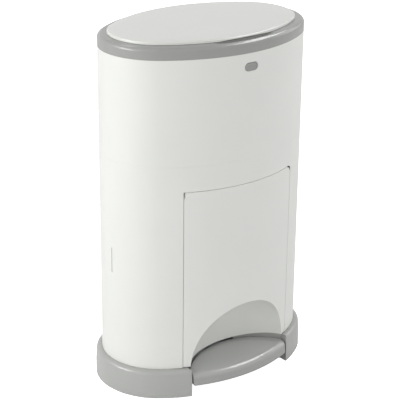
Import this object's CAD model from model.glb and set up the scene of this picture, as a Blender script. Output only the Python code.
from math import atan2, cos, hypot, pi, radians, sin

import bmesh
import bpy
from mathutils import Matrix, Vector


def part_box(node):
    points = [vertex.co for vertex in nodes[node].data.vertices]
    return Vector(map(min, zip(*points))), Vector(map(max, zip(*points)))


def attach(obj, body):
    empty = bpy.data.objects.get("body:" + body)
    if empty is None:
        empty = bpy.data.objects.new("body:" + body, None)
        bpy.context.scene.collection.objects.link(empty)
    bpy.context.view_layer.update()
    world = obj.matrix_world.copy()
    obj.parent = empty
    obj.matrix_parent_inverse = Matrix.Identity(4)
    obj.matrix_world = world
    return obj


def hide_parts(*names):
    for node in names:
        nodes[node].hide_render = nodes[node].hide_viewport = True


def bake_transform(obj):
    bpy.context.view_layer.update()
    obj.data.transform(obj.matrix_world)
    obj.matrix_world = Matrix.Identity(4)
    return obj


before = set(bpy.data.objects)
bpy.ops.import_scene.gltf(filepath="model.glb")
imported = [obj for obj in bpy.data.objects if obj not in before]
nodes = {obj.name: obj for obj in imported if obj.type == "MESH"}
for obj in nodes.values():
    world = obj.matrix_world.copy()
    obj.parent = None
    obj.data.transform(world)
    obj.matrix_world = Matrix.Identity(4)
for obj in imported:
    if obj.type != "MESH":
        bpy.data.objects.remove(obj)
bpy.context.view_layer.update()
scene = bpy.context.scene
scene.view_settings.view_transform = "Standard"

# Camera: a long lens from the front left, a little above the lid, as the photograph was taken.
# Its angles, distance and lens follow from the outline of the bin in the picture.
MM = 0.001
azimuth, elevation, roll = radians(-37.69), radians(21.58), radians(0.626)
target = Vector((0, 0, 300 * MM))
distance = 2311 * MM
level = Vector((cos(azimuth), sin(azimuth), 0))
back = Vector((sin(azimuth) * cos(elevation), -cos(azimuth) * cos(elevation), sin(elevation)))
upright = back.cross(level)
right = level * cos(roll) + upright * sin(roll)
up = upright * cos(roll) - level * sin(roll)
bpy.ops.object.camera_add()
camera = bpy.context.object
camera.matrix_world = (Matrix.Translation(target + back * distance)
                       @ Matrix((right, up, back)).transposed().to_4x4())
camera.data.sensor_width = 36
camera.data.lens = 123.26
camera.data.shift_x = -0.0026
camera.data.shift_y = -0.0118
camera.data.clip_end = 50
scene.camera = camera


def add(tree, kind, inputs=None, **settings):
    """Adds a node: settings are its own properties, inputs a value or an output for each socket."""
    node = tree.nodes.new(kind)
    for name, value in settings.items():
        setattr(node, name, value)
    for socket, value in (inputs or {}).items():
        if isinstance(value, bpy.types.NodeSocket):
            tree.links.new(value, node.inputs[socket])
        else:
            node.inputs[socket].default_value = value
    return node


def colour(code):
    """Linear RGBA of an sRGB hex colour such as "#a0a09c"."""
    parts = [int(code[i:i + 2], 16) / 255 for i in (1, 3, 5)]
    return [c / 12.92 if c <= 0.04045 else ((c + 0.055) / 1.055) ** 2.4 for c in parts] + [1]


def blank_material(name):
    """A new material with an empty node tree."""
    material = bpy.data.materials.new(name)
    material.use_nodes = True
    material.node_tree.nodes.clear()
    return material, material.node_tree


# Floor and studio: a plain pale floor that keeps the bin's shadow, in a white room with soft boxes.
# What the camera and the reflections see of the room is white, whatever light falls on the bin.
FLOOR_SIZE = 30
HORIZON_LIGHT, ZENITH_LIGHT = 1.155, 0.26
bpy.ops.mesh.primitive_plane_add(size=FLOOR_SIZE)
floor = bpy.context.object
floor.name = "floor"
floor_paint, tree = blank_material("matt_white_floor_paint")
rays = add(tree, "ShaderNodeLightPath")
matt = add(tree, "ShaderNodeBsdfDiffuse", {"Color": colour("#f2f2f2")})
glow = add(tree, "ShaderNodeEmission", {"Color": colour("#ffffff"),
                                        "Strength": rays.outputs["Is Camera Ray"]})
lit = add(tree, "ShaderNodeAddShader", {0: matt.outputs[0], 1: glow.outputs[0]})
add(tree, "ShaderNodeOutputMaterial", {"Surface": lit.outputs[0]})
floor.data.materials.append(floor_paint)

world = bpy.data.worlds.new("white_room")
scene.world = world
world.use_nodes = True
tree = world.node_tree
tree.nodes.clear()
rays = add(tree, "ShaderNodeLightPath")
seen = add(tree, "ShaderNodeMath", {0: rays.outputs["Is Camera Ray"], 1: rays.outputs["Is Glossy Ray"]},
           operation="MAXIMUM")
seen = add(tree, "ShaderNodeMath", {0: seen.outputs[0], 1: rays.outputs["Is Transmission Ray"]},
           operation="MAXIMUM")
facing = add(tree, "ShaderNodeTexCoord").outputs["Generated"]
height = add(tree, "ShaderNodeSeparateXYZ", {"Vector": facing}).outputs["Z"]
steep = add(tree, "ShaderNodeMath", {0: height, 1: height}, operation="MULTIPLY")
light = add(tree, "ShaderNodeMapRange", {"Value": steep.outputs[0], "To Min": HORIZON_LIGHT,
                                         "To Max": ZENITH_LIGHT})
strength = add(tree, "ShaderNodeMapRange", {"Value": seen.outputs[0], "To Min": light.outputs[0],
                                            "To Max": 1.0})
room = add(tree, "ShaderNodeBackground", {"Color": colour("#ffffff"), "Strength": strength.outputs[0]})
add(tree, "ShaderNodeOutputWorld", {"Surface": room.outputs[0]})


def lamp(name, place, width, power, strip_height=None):
    """A square soft box that faces the middle of the bin, or a level strip that only makes highlights."""
    bpy.ops.object.light_add(type="AREA", location=place)
    box = bpy.context.object
    box.name = name
    box.data.shape = "RECTANGLE"
    box.data.size = width
    box.data.size_y = strip_height or width
    box.visible_diffuse = strip_height is None
    box.data.energy = power
    box.rotation_euler = (target - Vector(place)).to_track_quat("-Z", "Y").to_euler()


lamp("left_soft_box", (-2.4, 0.9, 1.3), 1.4, 21.5)
lamp("front_left_soft_box", (-2.6, -0.4, 1.2), 1.4, 9)
lamp("right_soft_box", (2.6, -0.4, 1.2), 1.4, 10)
lamp("left_strip", (-2.35, 0.3, 0.8), 1.0, 20, 0.6)
lamp("rear_strip", (-0.2, 1.3, 2.6), 0.5, 6, 0.4)
lamp("pedal_strip", (1.45, -0.5, 2.15), 2.2, 48, 0.8)


# Housings: two oval mouldings of satin-gloss ABS, one set on the other, with a faint seam.
# Injection moulded and left as they come from the tool, so their reflections are a little wavy.
HALF_W, HALF_D, END_R = 185 * MM, 125 * MM, 97 * MM
END_X = HALF_W - END_R
SIDE_R = (END_X ** 2 + HALF_D ** 2 - END_R ** 2) / (2 * (HALF_D - END_R))
SIDE_Y = SIDE_R - HALF_D
SIDE_ANGLE = atan2(END_X, SIDE_Y)


def inset(point):
    """How far a point lies inside the housing's oval outline, in plan."""
    x, y = abs(point[0]), abs(point[1])
    if atan2(y, x - END_X) < pi / 2 - SIDE_ANGLE:
        return END_R - hypot(x - END_X, y)
    return SIDE_R - hypot(x, y + SIDE_Y)


def plastic(name, pale, deep, roughness, wave_depth, grain_depth, worn=None):
    """Moulded plastic: cloudy tint, waves from shrinkage, fine grain, and a worn top if one is given."""
    cloud_size, wave_size, grain_size = 90 * MM, 18 * MM, 1.5 * MM
    material, tree = blank_material(name)
    place = add(tree, "ShaderNodeTexCoord").outputs["Object"]
    cloud = add(tree, "ShaderNodeTexNoise", {"Vector": place, "Scale": 1 / cloud_size, "Detail": 2.0})
    tint = add(tree, "ShaderNodeMixRGB", {"Fac": cloud.outputs["Fac"], "Color1": colour(pale),
                                          "Color2": colour(deep)})
    if worn:
        facing = add(tree, "ShaderNodeTexCoord").outputs["Normal"]
        upward = add(tree, "ShaderNodeSeparateXYZ", {"Vector": facing}).outputs["Z"]
        tint = add(tree, "ShaderNodeMixRGB", {"Fac": upward, "Color1": tint.outputs["Color"],
                                              "Color2": colour(worn)})
    wave = add(tree, "ShaderNodeTexNoise", {"Vector": place, "Scale": 1 / wave_size, "Detail": 0.0})
    grain = add(tree, "ShaderNodeTexNoise", {"Vector": place, "Scale": 1 / grain_size, "Detail": 2.0})
    sheen = add(tree, "ShaderNodeMapRange", {"Value": grain.outputs["Fac"], "To Min": roughness - 0.04,
                                             "To Max": roughness + 0.05})
    wavy = add(tree, "ShaderNodeBump", {"Height": wave.outputs["Fac"], "Distance": wave_depth,
                                        "Strength": 1.0})
    relief = add(tree, "ShaderNodeBump", {"Height": grain.outputs["Fac"], "Distance": grain_depth,
                                          "Strength": 1.0, "Normal": wavy.outputs["Normal"]})
    shell = add(tree, "ShaderNodeBsdfPrincipled", {
        "Base Color": tint.outputs["Color"], "Roughness": sheen.outputs[0], "IOR": 1.5,
        "Normal": relief.outputs["Normal"]})
    add(tree, "ShaderNodeOutputMaterial", {"Surface": shell.outputs[0]})
    return material


def copy_of(node, name):
    """A new piece with a CAD node's mesh, its loose triangles joined and its flat faces made whole."""
    same_place, same_plane = 0.002 * MM, radians(0.4)
    bpy.ops.object.select_all(action="DESELECT")
    piece = bpy.data.objects.new(name, nodes[node].data.copy())
    scene.collection.objects.link(piece)
    bpy.context.view_layer.objects.active = piece
    piece.select_set(True)
    bpy.ops.mesh.customdata_custom_splitnormals_clear()
    bpy.ops.object.mode_set(mode="EDIT")
    bpy.ops.mesh.select_all(action="SELECT")
    bpy.ops.mesh.remove_doubles(threshold=same_place)
    bpy.ops.mesh.dissolve_limited(angle_limit=same_plane)
    bpy.ops.object.mode_set(mode="OBJECT")
    return piece


def bend_of(piece):
    """The angle between the two faces at each edge of a mesh, by the edge's number."""
    around = {}
    for face in piece.data.polygons:
        for key in face.edge_keys:
            around.setdefault(key, []).append(face.normal.copy())
    return {edge.index: pair[0].angle(pair[1], 0)
            for edge in piece.data.edges for pair in [around.get(edge.key, [])] if len(pair) == 2}


SHARP_EDGE = radians(32)


def round_edges(piece, width, chosen, segments=3, clamp=False):
    """Rounds the sharp edges whose two ends are both chosen by their place."""
    weights = piece.data.attributes.new("bevel_weight_edge", "FLOAT", "EDGE")
    corners = piece.data.vertices
    for index, angle in bend_of(piece).items():
        ends = [corners[i].co for i in piece.data.edges[index].vertices]
        weights.data[index].value = angle > SHARP_EDGE and all(chosen(end) for end in ends)
    bpy.ops.object.modifier_add(type="BEVEL")
    bevel = piece.modifiers[-1]
    bevel.limit_method = "WEIGHT"
    bevel.width = width
    bevel.segments = segments
    bevel.use_clamp_overlap = clamp
    bpy.ops.object.modifier_apply(modifier=bevel.name)


def finish(piece, node, body, material, sharp=SHARP_EDGE):
    """Smooth shading that leaves the large faces flat, the material, and the frame's calls."""
    bpy.ops.object.select_all(action="DESELECT")
    bpy.context.view_layer.objects.active = piece
    piece.select_set(True)
    bpy.ops.object.shade_smooth_by_angle(angle=sharp)
    bpy.ops.object.modifier_add(type="WEIGHTED_NORMAL")
    piece.modifiers[-1].keep_sharp = True
    bpy.ops.object.modifier_apply(modifier=piece.modifiers[-1].name)
    piece.data.materials.clear()
    piece.data.materials.append(material)
    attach(piece, body)
    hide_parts(node)


white_abs = plastic("moulded_white_abs", "#dadbd7", "#dedfdb", 0.30, 0.05 * MM, 0.004 * MM)


def on_skin(point):
    """A test for points on the outside of the housing."""
    return inset(point) < 0.3 * MM


for node in ("lower_housing", "upper_housing"):
    housing = copy_of(node, node + "_moulding")
    round_edges(housing, 0.3 * MM, on_skin)
    finish(housing, node, "bin", white_abs)

# Front door: a curved panel of the same ABS, hinged at its left edge, with the foot scoop moulded in.
# Its edges and the scoop's rim are rounded, so that the gap round it shows as a fine line.
door = copy_of("front_door", "front_door_panel")
round_edges(door, 0.35 * MM, on_skin)
finish(door, "front_door", "door", white_abs)

# Lid: one crowned oval moulding of the same ABS, with a rolled edge and a notch over the finger dip.
# It is highest in the middle and falls away towards its rim, so the skin doesn't sink as it cools.
LID_TOP, LID_SKIN, LID_INSET = 603 * MM, 2.5 * MM, 15.5 * MM
CROWN, CROWN_REACH, CROWN_RINGS = 0.9 * MM, 75 * MM, 6


def pick(piece, wanted):
    """Selects the faces of a piece in edit mode that pass a test, and no others."""
    bpy.ops.mesh.select_mode(type="FACE")
    bpy.ops.mesh.select_all(action="DESELECT")
    mesh = bmesh.from_edit_mesh(piece.data)
    for face in mesh.faces:
        face.select_set(wanted(face))
    bmesh.update_edit_mesh(piece.data)


lid = copy_of("lid_panel", "lid_crowned_panel")
bpy.ops.object.mode_set(mode="EDIT")
pick(lid, lambda face: face.normal.z > 0.99 and face.calc_center_median().z > LID_TOP - 0.1 * MM)
bpy.ops.mesh.dissolve_limited(angle_limit=radians(5))
for ring in range(CROWN_RINGS):
    bpy.ops.mesh.inset(thickness=CROWN_REACH / CROWN_RINGS)
bpy.ops.object.mode_set(mode="OBJECT")
for corner in lid.data.vertices:
    part = 1 - min(1, max(0, inset(corner.co) - LID_INSET) / CROWN_REACH)
    if corner.co.z > LID_TOP - LID_SKIN + 0.2 * MM:
        corner.co.z -= CROWN * part ** 2
finish(lid, "lid_panel", "lid", white_abs, radians(40))

# Grey mouldings outside: the collar, the plinth with the pedal bay, the pedal and the lock button.
# They are a mid grey ABS, and all but the button are glossier than the white parts. Shoes have scuffed
# the pedal's tread paler.
BAY_HALF, BAY_R, BAY_Y = 102.5 * MM, 133.44 * MM, -185.44 * MM
PEDAL_HALF, PEDAL_R = 99.3 * MM, 129.24 * MM
BUTTON_HALF_FLAT, BUTTON_END_R, BUTTON_Z, BUTTON_FACE_Y = 6 * MM, 6.5 * MM, 555 * MM, -124 * MM
NEAR = 0.1 * MM

collar_grey = plastic("moulded_grey_abs_collar", "#959693", "#999a97", 0.21, 0.05 * MM, 0.006 * MM)
plinth_grey = plastic("moulded_grey_abs_plinth", "#a6a7a4", "#aaaba8", 0.21, 0.05 * MM, 0.006 * MM)
pedal_grey = plastic("moulded_grey_abs_pedal", "#9c9d9b", "#a0a19f", 0.18, 0.04 * MM, 0.006 * MM,
                     "#b0b1af")
button_grey = plastic("moulded_grey_abs_button", "#939491", "#979895", 0.32, 0.02 * MM, 0.006 * MM)


def on_bay(half, radius):
    """A test for points on the side or the rear arc of the pedal bay or of the pedal."""
    return lambda point: (abs(abs(point[0]) - half) < NEAR
                          or abs(hypot(point[0], point[1] - BAY_Y) - radius) < NEAR)


def on_face_rim(point):
    """A test for points on the outer edge of the lock button's face, which has round ends."""
    from_middle = hypot(max(0, abs(point[0]) - BUTTON_HALF_FLAT), point[2] - BUTTON_Z)
    return point[1] < BUTTON_FACE_Y and from_middle > BUTTON_END_R - NEAR


collar = copy_of("top_collar", "top_collar_moulding")
finish(collar, "top_collar", "bin", collar_grey)
plinth = copy_of("base_plinth", "base_plinth_moulding")
round_edges(plinth, 0.8 * MM, on_bay(BAY_HALF, BAY_R))
finish(plinth, "base_plinth", "bin", plinth_grey)
pedal = copy_of("pedal", "pedal_moulding")
round_edges(pedal, 1.5 * MM, on_bay(PEDAL_HALF, PEDAL_R), 4)
finish(pedal, "pedal", "pedal", pedal_grey)
button = copy_of("lock_button", "lock_button_cap")
round_edges(button, 0.5 * MM, on_face_rim, clamp=True)
finish(button, "lock_button", "lock", button_grey)

# Mouldings inside: light grey polypropylene for the large ones, mid grey for the small ones, and white
# ABS for the cap and the flaps. An etched tool leaves the polypropylene matt. All edges are just broken.
inner_pp = plastic("moulded_light_grey_pp", "#b4b4b2", "#b8b8b6", 0.46, 0.06 * MM, 0.010 * MM)
catch_pp = plastic("moulded_mid_grey_pp", "#9a9b98", "#9e9f9c", 0.44, 0.03 * MM, 0.010 * MM)


def moulding(node, body, material, width):
    """A copy of a CAD node with all its sharp edges rounded a little."""
    piece = copy_of(node, node + "_moulding")
    round_edges(piece, width, lambda point: True, segments=2, clamp=True)
    finish(piece, node, body, material)


for node, body in (("shutter_frame", "bin"), ("lid_liner", "lid"), ("film_cassette", "bin"),
                   ("cassette_carrier", "bin"), ("lower_rod_channel", "bin"),
                   ("upper_rod_channel", "bin")):
    moulding(node, body, inner_pp, 0.35 * MM)
for node, body in (("cassette_cap", "bin"), ("front_flap", "front_flap"), ("rear_flap", "rear_flap")):
    moulding(node, body, white_abs, 0.4 * MM)
for node, body in (("rod_foot", "rod"), ("rod_yoke", "rod"), ("door_catch", "door"),
                   ("catch_keeper", "bin"), ("film_cutter", "door"), ("lock_catch", "lock")):
    moulding(node, body, catch_pp, 0.4 * MM)

# Rubber: four feet plugged into the plinth, the lid's ring seal and the soft edges of the two flaps.
# It is dull dark TPE, pressed in or stuck on, and its free edges are round.
rubber, tree = blank_material("moulded_dark_tpe_rubber")
place = add(tree, "ShaderNodeTexCoord").outputs["Object"]
grit = add(tree, "ShaderNodeTexNoise", {"Vector": place, "Scale": 1 / (0.8 * MM), "Detail": 3.0})
dust = add(tree, "ShaderNodeTexNoise", {"Vector": place, "Scale": 1 / (12 * MM), "Detail": 3.0})
shade = add(tree, "ShaderNodeMixRGB", {"Fac": dust.outputs["Fac"], "Color1": colour("#454647"),
                                       "Color2": colour("#525354")})
pitted = add(tree, "ShaderNodeBump", {"Height": grit.outputs["Fac"], "Distance": 0.03 * MM,
                                      "Strength": 1.0})
skin = add(tree, "ShaderNodeBsdfPrincipled", {"Base Color": shade.outputs["Color"], "Roughness": 0.72,
                                              "IOR": 1.5, "Normal": pitted.outputs["Normal"]})
add(tree, "ShaderNodeOutputMaterial", {"Surface": skin.outputs[0]})
for node, body, width in (("base_feet", "bin", 1.0 * MM), ("lid_seal", "lid", 1.2 * MM),
                          ("front_flap_seal", "front_flap", 0.5 * MM),
                          ("rear_flap_seal", "rear_flap", 0.5 * MM)):
    moulding(node, body, rubber, width)

# Steel: pins, axle, rod, lever, striker and blade, cut from bar and sheet.
# Bright zinc plating, a little cloudy, with fine lines from the drawing of the bar.
zinc, tree = blank_material("zinc_plated_steel")
place = add(tree, "ShaderNodeTexCoord").outputs["Object"]
drawn = add(tree, "ShaderNodeMapping", {"Vector": place, "Scale": (0.04, 1, 1)})
lines = add(tree, "ShaderNodeTexNoise", {"Vector": drawn.outputs[0], "Scale": 1 / (0.7 * MM),
                                         "Detail": 2.0})
spangle = add(tree, "ShaderNodeTexNoise", {"Vector": place, "Scale": 1 / (5 * MM), "Detail": 3.0})
bright = add(tree, "ShaderNodeMixRGB", {"Fac": spangle.outputs["Fac"], "Color1": colour("#b2b6bb"),
                                        "Color2": colour("#c2c5c8")})
gloss = add(tree, "ShaderNodeMapRange", {"Value": spangle.outputs["Fac"], "To Min": 0.26,
                                         "To Max": 0.40})
scored = add(tree, "ShaderNodeBump", {"Height": lines.outputs["Fac"], "Distance": 0.01 * MM,
                                      "Strength": 1.0})
metal = add(tree, "ShaderNodeBsdfPrincipled", {"Base Color": bright.outputs["Color"], "Metallic": 1.0,
                                               "Roughness": gloss.outputs[0],
                                               "Normal": scored.outputs["Normal"]})
add(tree, "ShaderNodeOutputMaterial", {"Surface": metal.outputs[0]})
for node, body in (("pedal_axle", "bin"), ("lid_hinge_pin", "bin"), ("front_flap_pin", "bin"),
                   ("rear_flap_pin", "bin"), ("push_rod", "rod"), ("crank_pin", "lid"),
                   ("door_pins", "door"), ("pedal_lever", "pedal"), ("lid_striker", "lid")):
    moulding(node, body, zinc, 0.3 * MM)
nodes["cutter_blade"].data.materials.clear()
nodes["cutter_blade"].data.materials.append(zinc)

# Leaf spring behind the lock button: a strip of sprung steel, plated as above, held at both ends.
# Its middle bends inwards with the sliding catch, and its ends stay in their posts.
LEAF_STEPS, POST_HOLDS, PLATE_PUSHES = 24, 29 * MM, 15 * MM
low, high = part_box("lock_spring")
leaf_y, leaf_z, leaf_half = (low[1] + high[1]) / 2, (low[2] + high[2]) / 2, high[0]
for side in (-1, 1):
    bpy.ops.object.select_all(action="DESELECT")
    bpy.ops.mesh.primitive_grid_add(x_subdivisions=LEAF_STEPS, y_subdivisions=2, size=1)
    leaf = bpy.context.object
    leaf.name = "lock_leaf_left" if side < 0 else "lock_leaf_right"
    leaf.data.transform(Matrix.Translation((side * leaf_half / 2, leaf_y, leaf_z))
                        @ Matrix.Rotation(pi / 2, 4, "X")
                        @ Matrix.Diagonal((leaf_half, high[2] - low[2], 1, 1)))
    bpy.ops.object.modifier_add(type="SOLIDIFY")
    leaf.modifiers[-1].thickness = high[1] - low[1]
    leaf.modifiers[-1].offset = 0
    bpy.ops.object.modifier_apply(modifier=leaf.modifiers[-1].name)
    leaf.data.materials.append(zinc)
    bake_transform(leaf)
    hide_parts("lock_spring")

# Screws: zinc-plated pan-head screws for plastic, with a round drive recess and a coarse thread.
# Six join the housings at the seam, two hold the lever and six hold the liner and the striker.
HEAD_R, HEAD_H, HEAD_ROUND, HEAD_SIDES = 3.2 * MM, 1.8 * MM, 0.7 * MM, 20
SHANK_R, THREAD, THREAD_ROOT, POINT = 1.5 * MM, 1.0 * MM, 0.84, 0.6
RECESS_RIM, RECESS_DEPTH = 1.0 * MM, 1.0 * MM
LUG_IN, SEAM_HEAD_Z = 11 * MM, 408 * MM
LUG_R, LUG_SIDE_R = END_R - LUG_IN, SIDE_R - LUG_IN
LUG_TURN, LUG_SIDE_TURN = radians(35), radians(15)
LEVER_X, LEVER_Y, LEVER_Z = 8 * MM, -76 * MM, 19 * MM
LINER_X, LINER_Y, LINER_Z = 120 * MM, 35 * MM, 597.3 * MM
STRIKER_X, STRIKER_Y, STRIKER_Z = 4.5 * MM, -96.6 * MM, 595.3 * MM


def screw_shape(length):
    """A screw that stands with its head up and the head's underside at z = 0."""
    bpy.ops.object.select_all(action="DESELECT")
    bpy.ops.mesh.primitive_cylinder_add(vertices=HEAD_SIDES, radius=HEAD_R, depth=HEAD_H)
    screw = bpy.context.object
    screw.data.transform(Matrix.Translation((0, 0, HEAD_H / 2)))
    bpy.ops.object.mode_set(mode="EDIT")
    pick(screw, lambda face: face.normal.z > 0.9)
    bpy.ops.mesh.bevel(offset=HEAD_ROUND, segments=3, affect="EDGES")
    pick(screw, lambda face: face.normal.z > 0.99)
    bpy.ops.mesh.inset(thickness=RECESS_RIM)
    bpy.ops.mesh.extrude_region_move(TRANSFORM_OT_translate={"value": (0, 0, -RECESS_DEPTH)})
    pick(screw, lambda face: face.normal.z < -0.9 and len(face.verts) == HEAD_SIDES)
    bpy.ops.mesh.inset(thickness=HEAD_R - SHANK_R)
    turns = max(1, round(length / THREAD))
    for turn in range(turns):
        for narrow in (THREAD_ROOT, 1 / THREAD_ROOT if turn < turns - 1 else POINT):
            bpy.ops.mesh.extrude_region_move(
                TRANSFORM_OT_translate={"value": (0, 0, -length / turns / 2)})
            bpy.ops.transform.resize(value=(narrow, narrow, 1), center_override=(0, 0, 0))
    bpy.ops.object.mode_set(mode="OBJECT")
    return screw


def screws(node, length, places, head_up=False):
    """Copies of one screw, one at each place, all with their heads up or all with them down."""
    first = screw_shape(length)
    turned = Matrix.Rotation(0 if head_up else pi, 4, "X")
    copies = []
    for place in places:
        one = bpy.data.objects.new(node + "_threaded", first.data.copy())
        scene.collection.objects.link(one)
        one.data.transform(Matrix.Translation(place) @ turned)
        copies.append(one)
    bpy.data.objects.remove(first)
    return copies


def joined(pieces):
    """Joins pieces into the first of them."""
    bpy.ops.object.select_all(action="DESELECT")
    for piece in pieces:
        piece.select_set(True)
    bpy.context.view_layer.objects.active = pieces[0]
    bpy.ops.object.join()
    return pieces[0]


seam_places = [(side * (END_X + LUG_R * cos(LUG_TURN)), LUG_R * sin(turn), SEAM_HEAD_Z)
               for side in (-1, 1) for turn in (-LUG_TURN, LUG_TURN)]
seam_places += [(side * LUG_SIDE_R * sin(LUG_SIDE_TURN), LUG_SIDE_R * cos(LUG_SIDE_TURN) - SIDE_Y,
                 SEAM_HEAD_Z) for side in (-1, 1)]
lever_places = [(side * LEVER_X, LEVER_Y, LEVER_Z) for side in (-1, 1)]
liner_places = [(x * LINER_X, y * LINER_Y, LINER_Z) for x in (-1, 1) for y in (-1, 1)]
striker_places = [(side * STRIKER_X, STRIKER_Y, STRIKER_Z) for side in (-1, 1)]
seam_screws = joined(screws("housing_screws", 16 * MM, seam_places, head_up=True))
finish(seam_screws, "housing_screws", "bin", zinc)
lever_screws = joined(screws("lever_screws", 14 * MM, lever_places))
finish(lever_screws, "lever_screws", "pedal", zinc)
lid_screws = joined(screws("lid_screws", 2 * MM, liner_places)
                    + screws("lid_screws", 4 * MM, striker_places))
finish(lid_screws, "lid_screws", "lid", zinc)

# Torsion springs: plated wire wound on the pedal's axle and on the pins of the two flaps.
# One leg of each stands up into the moulding above it. The other points forward from the pedal's
# spring, and towards the throat between the flaps from theirs.
PEDAL_COIL_X, PEDAL_COIL_Y, PEDAL_COIL_Z = 42 * MM, -30 * MM, 28 * MM
FLAP_COIL_X, FLAP_COIL_Y, FLAP_COIL_Z = 76.1 * MM, 70 * MM, 561.25 * MM
FLAP_TURNS, FLAP_PITCH = 6.25, 1.0 * MM
SPRING_EDGE = radians(50)


def torsion_spring(wire, radius, turns, pitch, leg_up, leg_out):
    """A coil about the X axis that starts at x = 0: one leg leaves it upwards, one along -Y."""
    bpy.ops.object.select_all(action="DESELECT")
    wire_sides = 12
    bpy.ops.mesh.primitive_circle_add(vertices=wire_sides, radius=wire / 2)
    spring = bpy.context.object
    spring.data.transform(Matrix.Translation((0, radius, 0)))
    bpy.ops.object.modifier_add(type="SCREW")
    turning = spring.modifiers[-1]
    turning.axis = "X"
    turning.angle = -2 * pi * turns
    turning.screw_offset = pitch * turns
    turning.steps = turning.render_steps = round(20 * turns)
    bpy.ops.object.modifier_apply(modifier=turning.name)
    bpy.ops.object.mode_set(mode="EDIT")
    bpy.ops.mesh.select_all(action="SELECT")
    bpy.ops.mesh.fill_holes(sides=0)
    bpy.ops.mesh.select_all(action="SELECT")
    bpy.ops.mesh.normals_make_consistent(inside=False)
    pick(spring, lambda face: len(face.verts) == wire_sides and face.normal.z > 0.7)
    bpy.ops.mesh.extrude_region_move(TRANSFORM_OT_translate={"value": (0, 0, leg_up)})
    pick(spring, lambda face: len(face.verts) == wire_sides and face.normal.y < -0.7)
    bpy.ops.mesh.extrude_region_move(TRANSFORM_OT_translate={"value": (0, -leg_out, 0)})
    bpy.ops.object.mode_set(mode="OBJECT")
    return spring


spring = torsion_spring(wire=1.5 * MM, radius=4.15 * MM, turns=5.25, pitch=1.7 * MM,
                        leg_up=17 * MM, leg_out=20 * MM)
spring.name = "pedal_spring_coil"
spring.data.transform(Matrix.Translation((PEDAL_COIL_X, PEDAL_COIL_Y, PEDAL_COIL_Z)))
finish(spring, "pedal_spring", "bin", zinc, SPRING_EDGE)
for node, side in (("front_flap_spring", -1), ("rear_flap_spring", 1)):
    spring = torsion_spring(wire=0.9 * MM, radius=2.35 * MM, turns=FLAP_TURNS, pitch=FLAP_PITCH,
                            leg_up=6 * MM, leg_out=1 * MM)
    spring.name = node + "_coil"
    if side < 0:
        spring.data.transform(Matrix.Translation((FLAP_TURNS * FLAP_PITCH, 0, 0))
                              @ Matrix.Rotation(pi, 4, "Z"))
    spring.data.transform(Matrix.Translation((FLAP_COIL_X, side * FLAP_COIL_Y, FLAP_COIL_Z)))
    finish(spring, node, "bin", zinc, SPRING_EDGE)

# Film: a long sleeve of thin polythene, folded like a concertina and pressed into the ring cassette.
# The film is milky and a little crinkled, and each fold is a few millimetres high.
film, tree = blank_material("folded_polythene_film")
place = add(tree, "ShaderNodeTexCoord").outputs["Object"]
crinkle = add(tree, "ShaderNodeTexNoise", {"Vector": place, "Scale": 1 / (4 * MM), "Detail": 4.0})
milky = add(tree, "ShaderNodeMixRGB", {"Fac": crinkle.outputs["Fac"], "Color1": colour("#e2e7e8"),
                                       "Color2": colour("#eef1f1")})
creased = add(tree, "ShaderNodeBump", {"Height": crinkle.outputs["Fac"], "Distance": 0.25 * MM,
                                       "Strength": 1.0})
sleeve = add(tree, "ShaderNodeBsdfPrincipled", {"Base Color": milky.outputs["Color"], "Roughness": 0.32,
                                                "IOR": 1.5, "Subsurface Weight": 0.15,
                                                "Normal": creased.outputs["Normal"]})
add(tree, "ShaderNodeOutputMaterial", {"Surface": sleeve.outputs[0]})
FOLDS, FOLD_SWAY = 9, 0.994
low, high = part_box("film_pack")
pack = copy_of("film_pack", "film_pack_folded")
bpy.ops.object.mode_set(mode="EDIT")
pick(pack, lambda face: face.normal.z > -0.9)
bpy.ops.mesh.delete(type="FACE")
bpy.ops.mesh.select_all(action="SELECT")
for fold in range(2 * FOLDS):
    sway = FOLD_SWAY if fold % 2 == 0 else 1 / FOLD_SWAY
    bpy.ops.mesh.extrude_region_move(
        TRANSFORM_OT_translate={"value": (0, 0, (high[2] - low[2]) / (2 * FOLDS))})
    bpy.ops.transform.resize(value=(sway, sway, 1), center_override=(0, 0, 0))
bpy.ops.mesh.select_all(action="SELECT")
bpy.ops.mesh.normals_make_consistent(inside=False)
bpy.ops.object.mode_set(mode="OBJECT")
finish(pack, "film_pack", "bin", film, radians(70))
